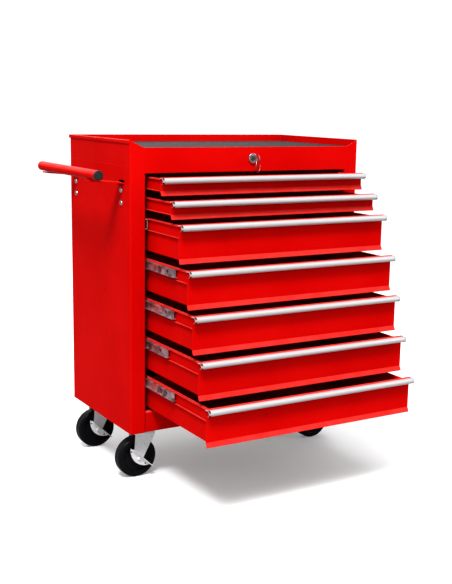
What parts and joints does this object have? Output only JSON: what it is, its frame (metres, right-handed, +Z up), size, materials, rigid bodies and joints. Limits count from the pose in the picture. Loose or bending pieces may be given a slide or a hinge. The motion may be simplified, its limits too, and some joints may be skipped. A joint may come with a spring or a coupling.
{
  "type": "rolling tool cabinet",
  "caption": "Steel tool cabinet on casters with sliding drawers, full-width pull strips, a lipped top tray with mat, a key lock and a push handle on one side.",
  "frame": {"origin": "bottom centre of the whole object's bounding box at rest, with its drawers part open, on the floor under the wheels", "axes": "+Z up, -Y towards the drawer fronts, +X to the right seen from the front, so the push handle is on the -X side"},
  "size_m": [0.7012, 0.646, 0.786],
  "materials": {
    "red_powder_coat": "gloss powder coat",
    "zinc_plated_steel": "zinc plated",
    "brushed_aluminium": "satin anodised",
    "polished_chrome": "polished",
    "nickel_plated_steel": "nickel plated",
    "black_plastic": "moulded",
    "black_rubber": "moulded",
    "grey_mat": "ribbed mat"
  },
  "bodies": {
    "cabinet": {"top_tray": "red_powder_coat", "tray_mat": "grey_mat", "side_panel_left": "red_powder_coat", "side_panel_right": "red_powder_coat", "back_panel": "red_powder_coat", "base_pan": "red_powder_coat", "rear_uprights": "red_powder_coat", "slide_rails_right": "zinc_plated_steel", "slide_rails_left": "zinc_plated_steel", "lock_barrel": "polished_chrome", "lock_nut": "zinc_plated_steel", "lock_bar_rivets": "zinc_plated_steel", "handle_tube": "red_powder_coat", "handle_end_caps": "black_plastic", "handle_brackets": "red_powder_coat", "handle_bolts": "polished_chrome", "swivel_mount_plates": "zinc_plated_steel", "rigid_caster_forks": "zinc_plated_steel", "rigid_caster_axles": "zinc_plated_steel", "caster_bolts": "zinc_plated_steel"},
    "drawer_1": {"drawer_1_tray": "red_powder_coat", "drawer_1_front": "red_powder_coat", "drawer_1_pull_strip": "brushed_aluminium"},
    "drawer_2": {"drawer_2_tray": "red_powder_coat", "drawer_2_front": "red_powder_coat", "drawer_2_pull_strip": "brushed_aluminium"},
    "drawer_3": {"drawer_3_tray": "red_powder_coat", "drawer_3_front": "red_powder_coat", "drawer_3_pull_strip": "brushed_aluminium"},
    "drawer_4": {"drawer_4_tray": "red_powder_coat", "drawer_4_front": "red_powder_coat", "drawer_4_pull_strip": "brushed_aluminium"},
    "drawer_4_middle": {"drawer_4_middle_slides": "zinc_plated_steel"},
    "drawer_5": {"drawer_5_tray": "red_powder_coat", "drawer_5_front": "red_powder_coat", "drawer_5_pull_strip": "brushed_aluminium"},
    "drawer_5_middle": {"drawer_5_middle_slides": "zinc_plated_steel"},
    "drawer_6": {"drawer_6_tray": "red_powder_coat", "drawer_6_front": "red_powder_coat", "drawer_6_pull_strip": "brushed_aluminium"},
    "drawer_6_middle": {"drawer_6_middle_slides": "zinc_plated_steel"},
    "drawer_7": {"drawer_7_tray": "red_powder_coat", "drawer_7_front": "red_powder_coat", "drawer_7_pull_strip": "brushed_aluminium"},
    "drawer_7_middle": {"drawer_7_middle_slides": "zinc_plated_steel"},
    "lock_plug": {"lock_plug": "zinc_plated_steel", "key_in_lock": "nickel_plated_steel"},
    "key_ring": {"key_ring": "nickel_plated_steel"},
    "lock_bar": {"lock_bar": "zinc_plated_steel"},
    "front_swivel": {"front_swivel_fork": "zinc_plated_steel", "front_swivel_axle": "zinc_plated_steel"},
    "front_brake": {"front_brake_lever": "zinc_plated_steel"},
    "front_left_wheel": {"front_left_wheel": "black_rubber"},
    "rear_swivel": {"rear_swivel_fork": "zinc_plated_steel", "rear_swivel_axle": "zinc_plated_steel"},
    "rear_brake": {"rear_brake_lever": "zinc_plated_steel"},
    "rear_left_wheel": {"rear_left_wheel": "black_rubber"},
    "front_right_wheel": {"front_right_wheel": "black_rubber"},
    "rear_right_wheel": {"rear_right_wheel": "black_rubber"}
  },
  "joints": [
    {"name": "drawer_1_slide", "type": "slide", "parent": "cabinet", "child": "drawer_1", "axis": [0, -1, 0], "range_m": [-0.07, 0.155]},
    {"name": "drawer_2_slide", "type": "slide", "parent": "cabinet", "child": "drawer_2", "axis": [0, -1, 0], "range_m": [-0.118, 0.107]},
    {"name": "drawer_3_slide", "type": "slide", "parent": "cabinet", "child": "drawer_3", "axis": [0, -1, 0], "range_m": [-0.156, 0.069]},
    {"name": "drawer_4_slide", "type": "slide", "parent": "cabinet", "child": "drawer_4", "axis": [0, -1, 0], "range_m": [-0.194, 0.106]},
    {"name": "drawer_4_middle_slide", "type": "slide", "parent": "cabinet", "child": "drawer_4_middle", "axis": [0, -1, 0], "range_m": [-0.1385, 0.07568]},
    {"name": "drawer_5_slide", "type": "slide", "parent": "cabinet", "child": "drawer_5", "axis": [0, -1, 0], "range_m": [-0.218, 0.082]},
    {"name": "drawer_5_middle_slide", "type": "slide", "parent": "cabinet", "child": "drawer_5_middle", "axis": [0, -1, 0], "range_m": [-0.132, 0.04966]},
    {"name": "drawer_6_slide", "type": "slide", "parent": "cabinet", "child": "drawer_6", "axis": [0, -1, 0], "range_m": [-0.246, 0.054]},
    {"name": "drawer_6_middle_slide", "type": "slide", "parent": "cabinet", "child": "drawer_6_middle", "axis": [0, -1, 0], "range_m": [-0.10601, 0.02327]},
    {"name": "drawer_7_slide", "type": "slide", "parent": "cabinet", "child": "drawer_7", "axis": [0, -1, 0], "range_m": [-0.281, 0.019]},
    {"name": "drawer_7_middle_slide", "type": "slide", "parent": "cabinet", "child": "drawer_7_middle", "axis": [0, -1, 0], "range_m": [-0.13601, 0.0092]},
    {"name": "lock_bar_slide", "type": "slide", "parent": "cabinet", "child": "lock_bar", "axis": [0, 0, -1], "range_m": [0, 0.01]},
    {"name": "lock_turn", "type": "hinge", "parent": "cabinet", "child": "lock_plug", "pos_m": [0.0444, -0.0255, 0.7436], "axis": [0, 1, 0], "range_deg": [0, 90]},
    {"name": "key_ring_swing", "type": "hinge", "parent": "lock_plug", "child": "key_ring", "pos_m": [0.0444, -0.0502, 0.7436], "axis": [0, 1, 0], "range_deg": [-45, 0]},
    {"name": "front_swivel_turn", "type": "hinge", "parent": "cabinet", "child": "front_swivel", "pos_m": [-0.2146, 0.027, 0], "axis": [0, 0, 1], "continuous": true},
    {"name": "front_left_wheel_spin", "type": "hinge", "parent": "front_swivel", "child": "front_left_wheel", "pos_m": [-0.2326, 0.027, 0.048], "axis": [0, 1, 0], "continuous": true},
    {"name": "front_brake_rock", "type": "hinge", "parent": "front_swivel", "child": "front_brake", "pos_m": [-0.2326, 0.027, 0.048], "axis": [0, 1, 0], "range_deg": [0, 12]},
    {"name": "rear_swivel_turn", "type": "hinge", "parent": "cabinet", "child": "rear_swivel", "pos_m": [-0.2146, 0.267, 0], "axis": [0, 0, 1], "continuous": true},
    {"name": "rear_left_wheel_spin", "type": "hinge", "parent": "rear_swivel", "child": "rear_left_wheel", "pos_m": [-0.2326, 0.267, 0.048], "axis": [0, 1, 0], "continuous": true},
    {"name": "rear_brake_rock", "type": "hinge", "parent": "rear_swivel", "child": "rear_brake", "pos_m": [-0.2326, 0.267, 0.048], "axis": [0, 1, 0], "range_deg": [0, 12]},
    {"name": "front_right_wheel_spin", "type": "hinge", "parent": "cabinet", "child": "front_right_wheel", "pos_m": [0.2984, 0.067, 0.048], "axis": [0, 1, 0], "continuous": true},
    {"name": "rear_right_wheel_spin", "type": "hinge", "parent": "cabinet", "child": "rear_right_wheel", "pos_m": [0.2984, 0.227, 0.048], "axis": [0, 1, 0], "continuous": true}
  ],
  "couplings": [
    {"joint": "drawer_4_middle_slide", "follows": "drawer_4_slide", "ratio": 0.7139},
    {"joint": "drawer_5_middle_slide", "follows": "drawer_5_slide", "ratio": 0.6055},
    {"joint": "drawer_6_middle_slide", "follows": "drawer_6_slide", "ratio": 0.4309},
    {"joint": "drawer_7_middle_slide", "follows": "drawer_7_slide", "ratio": 0.484},
    {"joint": "lock_turn", "follows": "lock_bar_slide", "rad_per_m": 157.08},
    {"joint": "key_ring_swing", "follows": "lock_bar_slide", "rad_per_m": -78.539}
  ]
}
